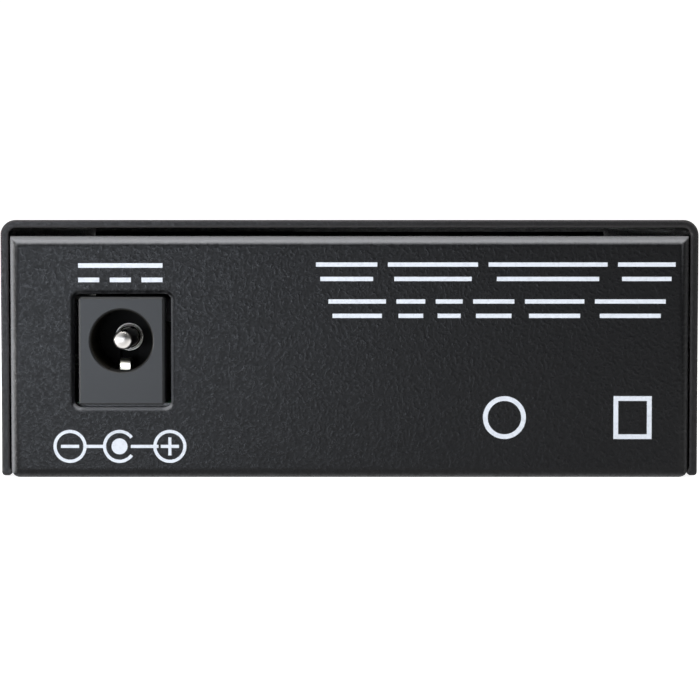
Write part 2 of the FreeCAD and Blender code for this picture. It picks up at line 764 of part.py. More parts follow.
# ---------------------------------------------------------------- parts on the board
def package(x, y, length, width, height, legs, pitch, sides):
    """Moulded package with bent legs on the sides given as angles."""
    low = board_top + package_lift
    top = low + height
    body = block(about(0, length), about(0, width), (low, top))
    body = body.makeChamfer(package_edge, [e for e in body.Edges if e.CenterOfMass.z > top - 1e-4])
    pieces = []
    for angle in sides:
        edge = (width if angle % 180 == 0 else length) / 2
        bend = edge + leg_reach / 2
        foot_z = board_top + leg_thickness / 2
        path = [(edge - leg_bury, foot_z + leg_height), (bend, foot_z + leg_height),
                (bend, foot_z), (edge + leg_reach, foot_z)]
        for across in spread(legs, pitch, 0):
            leg = strip(path, leg_thickness, leg_width, across)
            leg.rotate(V(0, 0, 0), Z, angle)
            pieces.append(leg)
    return placed(body.fuse(pieces), V(x, y, 0))


def converter_chip():
    return package(rj45_x, board_rear + chip_from_rear, chip_side, chip_side, chip_height,
                   chip_legs, chip_leg_pitch, (0, 90, 180, 270))


def isolation_transformer():
    return package(rj45_x, rj45_rear - transformer_gap - transformer_width / 2,
                   transformer_length, transformer_width, transformer_height,
                   transformer_legs, transformer_leg_pitch, (0, 180))


def memory_chip():
    return package(rj45_x + memory_shift, board_rear + chip_from_rear, memory_length,
                   memory_width, memory_height, memory_legs, memory_leg_pitch, (0, 180))


def crystal():
    """Oval metal can on its rim."""
    def oval(inset, high):
        can = block(about(rj45_x, crystal_length - 2 * inset),
                    about(board_rear + crystal_from_rear, crystal_width - 2 * inset),
                    (board_top, board_top + high))
        return can.makeChamfer(crystal_width / 4, straight_edges(can, Z))
    return joined([oval(0, crystal_rim), oval(crystal_rim, crystal_height)])


def smoothing_capacitor():
    """Upright can with the rolled groove that holds its rubber bung."""
    r, g, h = capacitor_r, capacitor_groove, capacitor_height
    return turned([(0, 0), (r, 0), (r, capacitor_bung), (r - g, capacitor_bung + g),
                   (r, capacitor_bung + 2 * g), (r, h), (0, h)],
                  V(power_x, board_rear + capacitor_from_rear, board_top))


def power_inductor():
    """Square ferrite block with the face of its winding drum on top."""
    y = board_rear + inductor_from_rear
    base = block(about(power_x, inductor_side), about(y, inductor_side),
                 (board_top, board_top + inductor_height))
    base = base.makeChamfer(inductor_corner, straight_edges(base, Z))
    top = V(power_x, y, board_top + inductor_height)
    return joined([base, rod(inductor_disc_r, top, top + Z * inductor_disc_rise)])


def power_regulator():
    """Small power package: cooling tab on one side, three legs on the other."""
    x, y = power_x + regulator_shift, board_rear + inductor_from_rear
    body = package(x, y, regulator_length, regulator_width, regulator_height,
                   regulator_legs, regulator_leg_pitch, (0,))
    tab = block(about(x, regulator_tab_width), (y - regulator_width / 2 - regulator_tab_reach, y),
                (board_top, board_top + regulator_tab_height))
    return joined([body, tab])


# ---------------------------------------------------------------- the whole converter
def all_parts():
    parts = {
        "base_tray": base_tray(),
        "top_cover": top_cover(),
        "cover_screws": cover_screws(),
        "board_standoffs": board_standoffs(),
        "board_screws": board_screws(),
        "circuit_board": circuit_board(),
        "jack_housing": jack_housing(),
        "jack_centre_pin": jack_centre_pin(),
        "jack_spring_contact": jack_spring_contact(),
        "jack_switch_contact": jack_switch_contact(),
        "rj45_housing": rj45_housing(),
        "rj45_shield": rj45_shield(),
        "fibre_receptacle": fibre_receptacle(),
        "fibre_module_housing": fibre_module_housing(),
        "transmit_barrel": fibre_barrel(port_xs[0]),
        "receive_barrel": fibre_barrel(port_xs[1]),
        "fibre_module_pins": fibre_module_pins(),
        "dip_switch_housing": dip_switch_housing(),
        "dip_terminals": dip_terminals(),
        "light_guide": light_guide(),
        "converter_chip": converter_chip(),
        "isolation_transformer": isolation_transformer(),
        "memory_chip": memory_chip(),
        "crystal": crystal(),
        "smoothing_capacitor": smoothing_capacitor(),
        "power_inductor": power_inductor(),
        "power_regulator": power_regulator(),
    }
    for n in range(contact_count):
        parts[f"rj45_contact_{n + 1}"] = rj45_contact(n)
    for n, x in enumerate(lever_xs):
        parts[f"dip_lever_{n + 1}"] = dip_lever(x)
    for n, (x, y) in enumerate([(x, y) for _, y in light_rows for x in light_xs]):
        parts[f"status_led_{n + 1}"] = status_led(x, y)
    return parts


os.makedirs("parts", exist_ok=True)
for name, shape in all_parts().items():
    shape.exportStep(f"parts/{name}.step")
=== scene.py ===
import math

import bmesh
import bpy
from mathutils import Matrix, Vector


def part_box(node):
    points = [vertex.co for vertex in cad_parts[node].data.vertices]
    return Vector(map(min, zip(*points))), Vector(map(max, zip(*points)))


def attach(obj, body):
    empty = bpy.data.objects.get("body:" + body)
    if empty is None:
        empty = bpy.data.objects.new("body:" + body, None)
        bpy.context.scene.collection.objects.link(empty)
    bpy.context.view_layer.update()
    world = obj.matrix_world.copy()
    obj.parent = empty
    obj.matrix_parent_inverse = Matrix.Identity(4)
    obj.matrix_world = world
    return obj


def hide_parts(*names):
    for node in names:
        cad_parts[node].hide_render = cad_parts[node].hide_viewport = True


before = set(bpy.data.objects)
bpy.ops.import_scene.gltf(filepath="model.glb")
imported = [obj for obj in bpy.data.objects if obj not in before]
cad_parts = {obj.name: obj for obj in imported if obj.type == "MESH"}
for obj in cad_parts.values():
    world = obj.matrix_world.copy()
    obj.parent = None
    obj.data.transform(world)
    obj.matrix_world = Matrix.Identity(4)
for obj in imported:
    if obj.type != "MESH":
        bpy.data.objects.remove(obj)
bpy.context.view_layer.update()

MM = 0.001


# The table and the wall behind it: one sheet of pale matt board, curved up at the back.
# The converter stands in the middle of it on its flat underside, rear panel to the viewer.

def finish(name, colour, roughness, metallic=0.0, specular=0.5):
    """New surface: the material, its nodes, its links and its shader."""
    surface = bpy.data.materials.new(name)
    surface.use_nodes = True
    tree = surface.node_tree
    shader = tree.nodes["Principled BSDF"]
    shader.inputs["Base Color"].default_value = (*colour, 1)
    shader.inputs["Roughness"].default_value = roughness
    shader.inputs["Metallic"].default_value = metallic
    shader.inputs["Specular IOR Level"].default_value = specular
    return surface, tree.nodes, tree.links, shader


def object_from(name, points, faces, surface):
    """New object from points in millimetres and lists of point numbers."""
    mesh = bpy.data.meshes.new(name)
    mesh.from_pydata([Vector(p) * MM for p in points], [], faces)
    shape = bmesh.new()
    shape.from_mesh(mesh)
    bmesh.ops.recalc_face_normals(shape, faces=shape.faces)
    shape.to_mesh(mesh)
    shape.free()
    mesh.materials.append(surface)
    made = bpy.data.objects.new(name, mesh)
    bpy.context.scene.collection.objects.link(made)
    return made


def maths(made, join, kind, first, second):
    """One arithmetic node; each input is a number or another node's output."""
    result = made.new("ShaderNodeMath")
    result.operation = kind
    for socket, value in zip(result.inputs, (first, second)):
        if isinstance(value, float):
            socket.default_value = value
        else:
            join.new(value, socket)
    return result.outputs[0]


def rescaled(made, join, value, low, high, start=0.0, end=1.0, shape="LINEAR"):
    """A value that runs from start to end, made to run from low to high."""
    span = made.new("ShaderNodeMapRange")
    span.interpolation_type = shape
    span.inputs["From Min"].default_value = start
    span.inputs["From Max"].default_value = end
    span.inputs["To Min"].default_value = low
    span.inputs["To Max"].default_value = high
    join.new(value, span.inputs["Value"])
    return span.outputs[0]


board_white, made, join, shader = finish("pale_board", (0.5, 0.5, 0.5), 0.9)
ray = made.new("ShaderNodeLightPath")
glow = made.new("ShaderNodeEmission")
glow.inputs["Color"].default_value = (1, 1, 1, 1)
glow.inputs["Strength"].default_value = 0.9
both = made.new("ShaderNodeAddShader")
choice = made.new("ShaderNodeMixShader")
fibres = made.new("ShaderNodeTexNoise")
fibres.inputs["Scale"].default_value = 900
join.new(rescaled(made, join, fibres.outputs["Fac"], 0.86, 0.94), shader.inputs["Roughness"])
join.new(shader.outputs[0], both.inputs[0])
join.new(glow.outputs[0], both.inputs[1])
mirrored = maths(made, join, "MAXIMUM",
                 ray.outputs["Is Glossy Ray"], ray.outputs["Is Transmission Ray"])
join.new(maths(made, join, "MAXIMUM", mirrored, ray.outputs["Is Camera Ray"]), choice.inputs[0])
join.new(shader.outputs[0], choice.inputs[1])
join.new(both.outputs[0], choice.inputs[2])
join.new(choice.outputs[0], made["Material Output"].inputs["Surface"])

half_wide, near_edge, wall, wall_top, curve_r = 1500, -900, 800, 1400, 300
curve = [math.radians(9 * n) for n in range(11)]
sweep = [(near_edge, 0)]
sweep += [(wall - curve_r + curve_r * math.sin(a), curve_r - curve_r * math.cos(a)) for a in curve]
sweep += [(wall, wall_top)]
points = [(x, y, z) for y, z in sweep for x in (-half_wide, half_wide)]
faces = [(2 * n, 2 * n + 1, 2 * n + 3, 2 * n + 2) for n in range(len(sweep) - 1)]
table = object_from("table_board", points, faces, board_white)
table.data.shade_smooth()


# The view of the rear panel, straight on and level with the top of the case, and the light:
# a key lamp above the viewer, two at the left for sheen and bright edges, and one behind.  White
# screens stand all round but for a dim gap at the front right, which keeps that side dark.

def lamp(name, place, target, width, height, power, tint=(1, 1, 1)):
    """Rectangular lamp that faces its target; the camera doesn't see it."""
    light = bpy.data.lights.new(name, "AREA")
    light.shape = "RECTANGLE"
    light.size, light.size_y, light.energy = width * MM, height * MM, power
    light.color = tint
    holder = bpy.data.objects.new(name, light)
    holder.location = Vector(place) * MM
    holder.rotation_euler = (Vector(target) - Vector(place)).to_track_quat("-Z", "Y").to_euler()
    holder.visible_camera = False
    bpy.context.scene.collection.objects.link(holder)


view = bpy.data.cameras.new("rear_view")
view.lens = 128.2
view.clip_start = 0.01
camera = bpy.data.objects.new("rear_view", view)
eye, aim = Vector((0.05, -307.25, 27)), Vector((0.05, -47.25, 13.43))
camera.location = eye * MM
camera.rotation_euler = (aim - eye).to_track_quat("-Z", "Y").to_euler()
bpy.context.scene.collection.objects.link(camera)
bpy.context.scene.camera = camera

lamp("left_lamp", (-80, -265, 13), (-25, -47, 12), 120, 25, 0.185, (0.9, 0.98, 1.1))
lamp("edge_lamp", (-320, -160, 13), (-20, -47, 12), 160, 25, 0.8)
lamp("key_lamp", (-10, -175, 300), (0, -47, 20), 280, 120, 0.95)
lamp("far_lamp", (80, 260, 300), (0, 30, 10), 300, 220, 1.6)

world = bpy.data.worlds.new("room")
bpy.context.scene.world = world
world.use_nodes = True
made, join = world.node_tree.nodes, world.node_tree.links
ray = made.new("ShaderNodeLightPath")
way = made.new("ShaderNodeTexCoord")
dim_side = Vector((0.55, -0.85, 0)).normalized()
facing = made.new("ShaderNodeVectorMath")
facing.operation = "DOT_PRODUCT"
facing.inputs[1].default_value = dim_side
join.new(way.outputs["Generated"], facing.inputs[0])
screens = rescaled(made, join, facing.outputs["Value"], 1.0, 0.03, 0.3, 0.85)
mirrored = maths(made, join, "MAXIMUM",
                 ray.outputs["Is Glossy Ray"], ray.outputs["Is Transmission Ray"])
level = made.new("ShaderNodeMix")
level.inputs["A"].default_value = 0.22
seen = made.new("ShaderNodeMix")
seen.inputs["B"].default_value = 1.0
join.new(mirrored, level.inputs["Factor"])
join.new(screens, level.inputs["B"])
join.new(ray.outputs["Is Camera Ray"], seen.inputs["Factor"])
join.new(level.outputs[0], seen.inputs["A"])
join.new(seen.outputs[0], made["Background"].inputs["Strength"])
made["Background"].inputs["Color"].default_value = (1, 1, 1, 1)

bpy.context.scene.view_settings.view_transform = "Standard"


# Cover and tray: both halves are 0.8 mm steel, folded and then powder coated black.  The coat
# cures into a fine wrinkle that rounds every cut edge; two screws pull the cover to the tray.

def noise(made, join, place, size):
    """Noise texture with grains of about this size in millimetres."""
    texture = made.new("ShaderNodeTexNoise")
    texture.inputs["Scale"].default_value = 1 / (size * MM)
    join.new(place, texture.inputs["Vector"])
    return texture


def shaded(made, join, value, dark, light, start=0.0, end=1.0):
    """Colour that goes from dark to light while a value goes from start to end."""
    ramp = made.new("ShaderNodeValToRGB")
    for stop, at, colour in zip(ramp.color_ramp.elements, (start, end), (dark, light)):
        stop.position = at
        stop.color = (*[min(1, c) for c in colour], 1)
    join.new(value, ramp.inputs["Fac"])
    return ramp.outputs["Color"]


def laid_over(made, join, share, base, colour):
    """A plain colour laid over a base colour where the share is 1."""
    layers = made.new("ShaderNodeMix")
    layers.data_type = "RGBA"
    layers.inputs["B"].default_value = (*colour, 1)
    join.new(share, layers.inputs["Factor"])
    join.new(base, layers.inputs["A"])
    return layers.outputs["Result"]


def wrinkle_coat(name, colour, roughness, grain, end, share, pale):
    """Wrinkle powder coat.  Past y = end, bends and cut edges are painted pale as a painted
    highlight, most where they face up or to the left, less where they face down or to the right,
    patchy with the wrinkles, and raised by share.
    """
    surface, made, join, shader = finish(name, colour, roughness, 0.0, 0.16)
    place = made.new("ShaderNodeTexCoord").outputs["Object"]
    wrinkles = noise(made, join, place, grain)
    wrinkles.inputs["Detail"].default_value = 3.0
    wrinkles.inputs["Roughness"].default_value = 0.6
    wrinkles.inputs["Distortion"].default_value = 0.1
    height = wrinkles.outputs["Fac"]
    tone = shaded(made, join, height, [c * 0.6 for c in colour], [c * 1.8 for c in colour], 0.4, 0.7)
    gloss = rescaled(made, join, height, roughness + 0.12, roughness - 0.07, 0.35, 0.65)
    melted = made.new("ShaderNodeBevel")
    melted.samples = 6
    melted.inputs["Radius"].default_value = 0.4 * MM
    relief = made.new("ShaderNodeBump")
    relief.inputs["Strength"].default_value = 0.75
    relief.inputs["Distance"].default_value = 0.07 * MM
    join.new(gloss, shader.inputs["Roughness"])
    join.new(height, relief.inputs["Height"])
    join.new(melted.outputs["Normal"], relief.inputs["Normal"])
    join.new(relief.outputs["Normal"], shader.inputs["Normal"])

    turn = made.new("ShaderNodeSeparateXYZ")
    sides = made.new("ShaderNodeSeparateXYZ")
    join.new(melted.outputs["Normal"], turn.inputs[0])
    join.new(place, sides.inputs[0])
    near_end = maths(made, join, "GREATER_THAN",
                     maths(made, join, "ABSOLUTE", sides.outputs["Y"], 0.0), end * MM)
    # Painted highlight: the pale colour follows the way a face turns, towards the lamps above and at
    # the left.
    left_from, under_share, right_share, patchy = -0.38, -0.26, 0.2, 0.16
    turned_left = maths(made, join, "SUBTRACT", left_from, turn.outputs["X"])
    turned_down = maths(made, join, "MULTIPLY", turn.outputs["Z"], under_share)
    turned_right = maths(made, join, "MULTIPLY", turn.outputs["X"], right_share)
    turned_up = maths(made, join, "MAXIMUM", turn.outputs["Z"], turned_left)
    turned_out = maths(made, join, "MAXIMUM", turned_up,
                       maths(made, join, "MAXIMUM", turned_down, turned_right))
    uneven = maths(made, join, "MULTIPLY", height, patchy)
    painted_highlight_amount = maths(made, join, "ADD", maths(made, join, "ADD", turned_out, uneven), share)
    reach = maths(made, join, "MULTIPLY", painted_highlight_amount, near_end)
    painted_highlight_share = rescaled(made, join, reach, 0.0, 1.0, 0.2, 0.5, "SMOOTHSTEP")
    join.new(laid_over(made, join, painted_highlight_share, tone, pale), shader.inputs["Base Color"])
    return surface


def soften(piece, edge):
    """Rounds a piece's sharp edges by a small radius in millimetres."""
    weld = piece.modifiers.new("weld", "WELD")
    weld.merge_threshold = 0.002 * MM
    flat = piece.modifiers.new("flat_faces", "DECIMATE")
    flat.decimate_type = "DISSOLVE"
    flat.angle_limit = math.radians(0.5)
    rounding = piece.modifiers.new("rounded_edges", "BEVEL")
    rounding.width = edge * MM
    rounding.segments = 2
    rounding.limit_method = "ANGLE"
    rounding.angle_limit = math.radians(32)
    rounding.use_clamp_overlap = True
    even = piece.modifiers.new("even_normals", "WEIGHTED_NORMAL")
    even.weight = 100
    even.keep_sharp = True
    piece.data.shade_smooth()


def dress(node, surface, edge):
    """Gives a node of the frame its surface and its rounded edges."""
    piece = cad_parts[node]
    piece.data.materials.clear()
    piece.data.materials.append(surface)
    soften(piece, edge)


def in_mm(node):
    """Lowest and highest corner of a node of the frame."""
    low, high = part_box(node)
    return low / MM, high / MM


case_black = (0.003, 0.003, 0.0034)
tray_low, tray_high = in_mm("base_tray")
cover_high = in_mm("top_cover")[1]
tray_bend, cut_edge, gloss, wrinkle_size = 1.1, 0.4, 0.3, 0.32
# Pale colours for the painted highlight on the tray's bends and on the cover's cut edges.
bend_highlight_colour, edge_highlight_colour = (0.185, 0.185, 0.19), (0.052, 0.048, 0.048)
black_coat = wrinkle_coat("black_wrinkle_coat", case_black, gloss, wrinkle_size,
                          cover_high.y - cut_edge, 0.2, edge_highlight_colour)
tray_coat = wrinkle_coat("wrinkle_coat_bend_highlight", case_black, gloss, wrinkle_size,
                         tray_high.y - tray_bend, 0.0, bend_highlight_colour)
dress("top_cover", black_coat, 0.34)
dress("base_tray", tray_coat, 0.15)


# Seal over the front panel: a strip of foam wrapped in grey metallised cloth, stuck along the
# tray's front lip.  The cover presses on it, so that no light or noise gets through the gap.

cloth, made, join, shader = finish("metallised_cloth", (0.3, 0.3, 0.31), 0.7, 0.0, 0.3)
threads = made.new("ShaderNodeTexVoronoi")
threads.inputs["Scale"].default_value = 1 / (0.25 * MM)
join.new(made.new("ShaderNodeTexCoord").outputs["Object"], threads.inputs["Vector"])
shade = shaded(made, join, threads.outputs["Distance"], (0.22, 0.22, 0.23), (0.36, 0.36, 0.37))
pores = made.new("ShaderNodeBump")
pores.inputs["Distance"].default_value = 0.1 * MM
join.new(shade, shader.inputs["Base Color"])
join.new(threads.outputs["Distance"], pores.inputs["Height"])
join.new(pores.outputs["Normal"], shader.inputs["Normal"])

sheet, lip_z = 0.8, tray_high.z
cover_under = cover_high.z - sheet
seal_half, seal_top_half, seal_front, seal_back = 35.65, 33.6, tray_high.y - 2.0, tray_high.y - 5.2
half = [(seal_half, lip_z), (seal_half - 0.05, lip_z + 0.4), (seal_half - 0.45, lip_z + 0.7),
        (seal_top_half + 1.1, cover_under - 0.02), (seal_top_half, cover_under)]
outline = half + [(-x, z) for x, z in reversed(half)]
count = len(outline)
points = [(x, y, z) for y in (seal_back, seal_front) for x, z in outline]
faces = [tuple(range(count)), tuple(range(count, 2 * count))]
faces += [(n, (n + 1) % count, count + (n + 1) % count, count + n) for n in range(count)]
seal = object_from("front_seal", points, faces, cloth)
soften(seal, 0.12)
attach(seal, "case")


# Marks on the rear panel: white ink, screened through a mesh and baked on.  The current mark
# and the plug's polarity mark are drawn; rows of plain bars and two plain shapes fill the rest.

def paint(name, colour, roughness):
    """Printing ink, a little thinner in places."""
    surface, made, join, shader = finish(name, colour, roughness, 0.0, 0.4)
    speckle = noise(made, join, made.new("ShaderNodeTexCoord").outputs["Object"], 0.3)
    thin = [c * 0.86 for c in colour]
    tone = shaded(made, join, speckle.outputs["Fac"], thin, colour, 0.25, 0.5)
    join.new(tone, shader.inputs["Base Color"])
    return surface


def arc(centre, radius, width, start=0.0, end=360.0):
    """Outline pieces of a ring or part of one, as four-cornered slices."""
    turns = max(6, round(abs(end - start) / 7.5))
    angles = [math.radians(start + (end - start) * n / turns) for n in range(turns + 1)]
    rim = [[(centre[0] + r * math.cos(a), centre[1] + r * math.sin(a)) for a in angles]
           for r in (radius - width / 2, radius + width / 2)]
    return [[rim[0][n], rim[1][n], rim[1][n + 1], rim[0][n + 1]] for n in range(turns)]


def bar(centre, width, height):
    """Outline of an upright rectangle."""
    w, h = width / 2, height / 2
    return [[(centre[0] - w, centre[1] - h), (centre[0] + w, centre[1] - h),
             (centre[0] + w, centre[1] + h), (centre[0] - w, centre[1] + h)]]


def dot(centre, radius):
    """Outline of a disc."""
    angles = [math.radians(15 * n) for n in range(24)]
    return [[(centre[0] + radius * math.cos(a), centre[1] + radius * math.sin(a)) for a in angles]]


def printed(name, outlines, surface, on_face, thick=0.02):
    """Ink on a face, each outline a low closed slab; on_face gives the point at (u, v, height)."""
    points, faces = [], []
    for outline in outlines:
        first, count = len(points), len(outline)
        points += [on_face(u, v, height) for height in (thick, -0.01) for u, v in outline]
        faces += [list(range(first, first + count)), list(range(first + count, first + 2 * count))]
        for n in range(count):
            m = (n + 1) % count
            faces.append((first + m, first + n, first + count + n, first + count + m))
    ink = object_from(name, points, faces, surface)
    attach(ink, "case")


def on_rear(u, v, height):
    """Point on the rear panel."""
    return (u, tray_low.y - height, v)


white_ink = paint("white_ink", (0.64, 0.67, 0.72), 0.6)
second_coat, third_coat = 0.024, 0.028

current_x, current_z, row_half, stroke = -23.9, 21.5, 0.75, 0.48
long_line, dash, dash_pitch = 8.8, 2.2, 3.3
current = bar((current_x, current_z + row_half), long_line, stroke)
for n in (-1, 0, 1):
    current += bar((current_x + dash_pitch * n, current_z - row_half), dash, stroke)
printed("current_mark", current, white_ink, on_rear)

minus, cup, plus, mark_z = -29.25, -24.07, -18.8, 3.33
ring_r, dot_r, cross, line = 1.57, 0.84, 1.9, 0.33
printed("polarity_rings",
        arc((minus, mark_z), ring_r, line) + arc((plus, mark_z), ring_r, line)
        + arc((cup, mark_z), ring_r, line, 36, 324) + dot((cup, mark_z), dot_r),
        white_ink, on_rear)
printed("polarity_lines",
        bar((minus, mark_z), cross, line) + bar((plus, mark_z), cross, line)
        + bar(((minus + cup) / 2, mark_z), cup - minus - 2 * ring_r, line)
        + bar(((plus + cup) / 2, mark_z), plus - cup - ring_r - dot_r + 0.04, line),
        white_ink, on_rear, second_coat)
printed("polarity_upright", bar((plus, mark_z), line, cross), white_ink, on_rear, third_coat)

row_line, word_space, short_share = 0.45, 1.1, 0.86
rows = []
for z, x, words in ((21.6, -3.5, (6.4, 9.4, 12.4, 6.0)),
                    (17.75, -2.2, (6.0, 3.0, 2.8, 4.3, 6.2, 7.4))):
    for word in words:
        rows += bar((x + word / 2, z + row_half), word, row_line)
        rows += bar((x + word / 2, z - row_half), word * short_share, row_line)
        x += word + word_space
printed("text_bars", rows, white_ink, on_rear)

mark_z, mark_line, ring_x, square_x, square = 6.35, 0.5, 16.2, 29.6, 4.0
printed("ring_mark", arc((ring_x, mark_z), square / 2, mark_line), white_ink, on_rear)
across, upright = [], []
for way in (1, -1):
    across += bar((square_x, mark_z + way * square / 2), square, mark_line)
    upright += bar((square_x - way * (square - mark_line) / 2, mark_z), mark_line, square)
printed("square_mark", across, white_ink, on_rear)
printed("square_sides", upright, white_ink, on_rear, second_coat)


# Power jack housing: a black nylon moulding with a round mouth, soldered to the board behind
# the rear panel's window.  Its face stands proud.  Inside the mouth the nylon is painted darker as
# painted shade, and a matt dark sleeve stands in the mouth for the shade there.

def moulded(name, colour, roughness, grain=0.25, relief_height=0.008, specular=0.5):
    """Moulded plastic with a fine matt skin."""
    surface, made, join, shader = finish(name, colour, roughness, 0.0, specular)
    skin = noise(made, join, made.new("ShaderNodeTexCoord").outputs["Object"], grain)
    dark, light = [c * 0.85 for c in colour], [c * 1.15 for c in colour]
    relief = made.new("ShaderNodeBump")
    relief.inputs["Strength"].default_value = 0.4
    relief.inputs["Distance"].default_value = relief_height * MM
    join.new(shaded(made, join, skin.outputs["Fac"], dark, light), shader.inputs["Base Color"])
    join.new(skin.outputs["Fac"], relief.inputs["Height"])
    join.new(relief.outputs["Normal"], shader.inputs["Normal"])
    return surface


jack_face = in_mm("jack_housing")[0].y
pin_low, pin_high = in_mm("jack_centre_pin")
collar_r = 1.5
mouth_x, mouth_z, mouth_r = (pin_low.x + pin_high.x) / 2, pin_high.z - collar_r, 3.25
nylon = moulded("black_nylon", (0.0068, 0.0074, 0.0083), 0.42, specular=0.32)
made, join = nylon.node_tree.nodes, nylon.node_tree.links
place, shader = made["Texture Coordinate"].outputs["Object"], made["Principled BSDF"]
depth = made.new("ShaderNodeSeparateXYZ")
flattened = made.new("ShaderNodeVectorMath")
flattened.operation = "MULTIPLY"
flattened.inputs[1].default_value = (1, 0, 1)
from_mouth = made.new("ShaderNodeVectorMath")
from_mouth.operation = "DISTANCE"
from_mouth.inputs[1].default_value = (mouth_x * MM, 0, mouth_z * MM)
join.new(place, depth.inputs[0])
join.new(place, flattened.inputs[0])
join.new(flattened.outputs["Vector"], from_mouth.inputs[0])
within = maths(made, join, "LESS_THAN", from_mouth.outputs["Value"], (mouth_r + 0.05) * MM)
past_face = rescaled(made, join, depth.outputs["Y"], 0.0, 1.0,
                     (jack_face + 0.005) * MM, (jack_face + 0.1) * MM)
mouth = maths(made, join, "MULTIPLY", past_face, within)
# Painted shade: the nylon inside the mouth, past the face, gets a darker colour.
mouth_shade_colour = (0.004, 0.0037, 0.0032)
join.new(laid_over(made, join, mouth, made["Color Ramp"].outputs["Color"], mouth_shade_colour),
         shader.inputs["Base Color"])
join.new(rescaled(made, join, mouth, 0.4, 0.85), shader.inputs["Roughness"])
dress("jack_housing", nylon, 0.12)


def swept(rings):
    """Points and faces of a solid swept through four-cornered outlines."""
    points, faces = [p for ring in rings for p in ring], [(0, 1, 2, 3)]
    for n in range(len(rings) - 1):
        for k in range(4):
            m = (k + 1) % 4
            faces.append((4 * n + k, 4 * n + m, 4 * n + 4 + m, 4 * n + 4 + k))
    return points, faces + [tuple(len(points) - 4 + k for k in range(4))]


# Painted shade: a matt sleeve that hardly reflects, put in the mouth to keep it dark.
shade_sleeve_nylon = moulded("shade_sleeve_nylon", (0.012, 0.011, 0.009), 0.9, specular=0.02)
slot_half, turns = 24, 40
shade_sleeve_outer, shade_sleeve_inner = mouth_r - 0.01, mouth_r - 0.06
shade_sleeve_front, shade_sleeve_back = jack_face + 0.15, jack_face + 8.4
rings = []
for n in range(turns + 1):
    a = math.radians(-90 + slot_half + (360 - 2 * slot_half) * n / turns)
    rings.append([(mouth_x + r * math.cos(a), y, mouth_z + r * math.sin(a))
                  for r, y in ((shade_sleeve_outer, shade_sleeve_front), (shade_sleeve_outer, shade_sleeve_back),
                               (shade_sleeve_inner, shade_sleeve_back), (shade_sleeve_inner, shade_sleeve_front))])
shade_sleeve = object_from("mouth_shade_sleeve", *swept(rings), shade_sleeve_nylon)
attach(shade_sleeve, "case")


# Centre pin: nickel-plated brass, turned with a domed tip and a grooved collar, pushed through
# the housing and riveted to the tab that is soldered to the board.

def plated(name, colour, roughness, streak=0.4, stretch=(1, 0.15, 1)):
    """Plated metal with faint streaks along y, or along the axis with the smallest stretch."""
    surface, made, join, shader = finish(name, colour, roughness, 1.0)
    drawn = made.new("ShaderNodeMapping")
    drawn.inputs["Scale"].default_value = stretch
    join.new(made.new("ShaderNodeTexCoord").outputs["Object"], drawn.inputs["Vector"])
    streaks = noise(made, join, drawn.outputs["Vector"], streak).outputs["Fac"]
    dark, light = [c * 0.8 for c in colour], [c * 1.1 for c in colour]
    join.new(shaded(made, join, streaks, dark, light), shader.inputs["Base Color"])
    join.new(rescaled(made, join, streaks, max(0.02, roughness - 0.08), roughness + 0.1),
             shader.inputs["Roughness"])
    return surface


def turned(profile, x, z):
    """Points and faces of a solid turned about a line along y, from (radius, y) pairs."""
    steps, points, faces = 48, [], []
    for r, y in profile:
        for n in range(steps):
            a = 2 * math.pi * n / steps
            points.append((x + r * math.cos(a), y, z + r * math.sin(a)))
    for k in range(len(profile) - 1):
        for n in range(steps):
            m = (n + 1) % steps
            faces.append((k * steps + n, k * steps + m, (k + 1) * steps + m, (k + 1) * steps + n))
    faces.append(list(range(steps)))
    faces.append(list(range(len(points) - steps, len(points))))
    return points, faces


def boxed(low, high):
    """Points and faces of a block between two corners."""
    points = [(x, y, z) for x in (low[0], high[0]) for y in (low[1], high[1])
              for z in (low[2], high[2])]
    faces = [(0, 1, 3, 2), (4, 6, 7, 5), (0, 4, 5, 1), (2, 3, 7, 6), (0, 2, 6, 4), (1, 5, 7, 3)]
    return points, faces


def assembled(name, shapes, surface):
    """One object out of several shapes, fixed in the case."""
    points, faces = [], []
    for more, sides in shapes:
        faces += [[n + len(points) for n in side] for side in sides]
        points += more
    piece = object_from(name, points, faces, surface)
    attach(piece, "case")
    return piece


tip, back = pin_low.y, pin_low.y + 8.2
pin_plate = plated("pin_plate", (0.62, 0.6, 0.57), 0.28, 1.5)
made, join = pin_plate.node_tree.nodes, pin_plate.node_tree.links
along = made.new("ShaderNodeSeparateXYZ")
join.new(made["Texture Coordinate"].outputs["Object"], along.inputs[0])
share = rescaled(made, join, along.outputs["Y"], 0.0, 1.0, tip * MM, back * MM)
# Painted shade: back from the tip the pin is laid over with dark brown where it sits in the mouth's
# shade.  A grey spot is painted at the middle of the dome as a painted reflection, with a bright
# band round it, and painted highlights lie on the collar's two ridges.
pin_shade_bands = made.new("ShaderNodeValToRGB")
pin_shade_bands.color_ramp.elements[0].color = (0.5, 0.5, 0.5, 1)
pin_shade_bands.color_ramp.elements[1].color = (1, 1, 1, 1)
tip_dark_spot = ((0.005, 0.4), (0.014, 0), (0.045, 0), (0.09, 1))
first_ridge_highlight = ((0.935, 1), (0.943, 0.1), (0.948, 0.1), (0.953, 1))
second_ridge_highlight = ((0.962, 1), (0.967, 0.1), (0.972, 0.1), (0.98, 1))
for at, shade_amount in tip_dark_spot + first_ridge_highlight + second_ridge_highlight:
    stop = pin_shade_bands.color_ramp.elements.new(at)
    stop.color = (shade_amount, shade_amount, shade_amount, 1)
pin_shade_colour = (0.05, 0.035, 0.025)
join.new(share, pin_shade_bands.inputs["Fac"])
join.new(laid_over(made, join, pin_shade_bands.outputs["Color"], made["Color Ramp"].outputs["Color"], pin_shade_colour),
         made["Principled BSDF"].inputs["Base Color"])

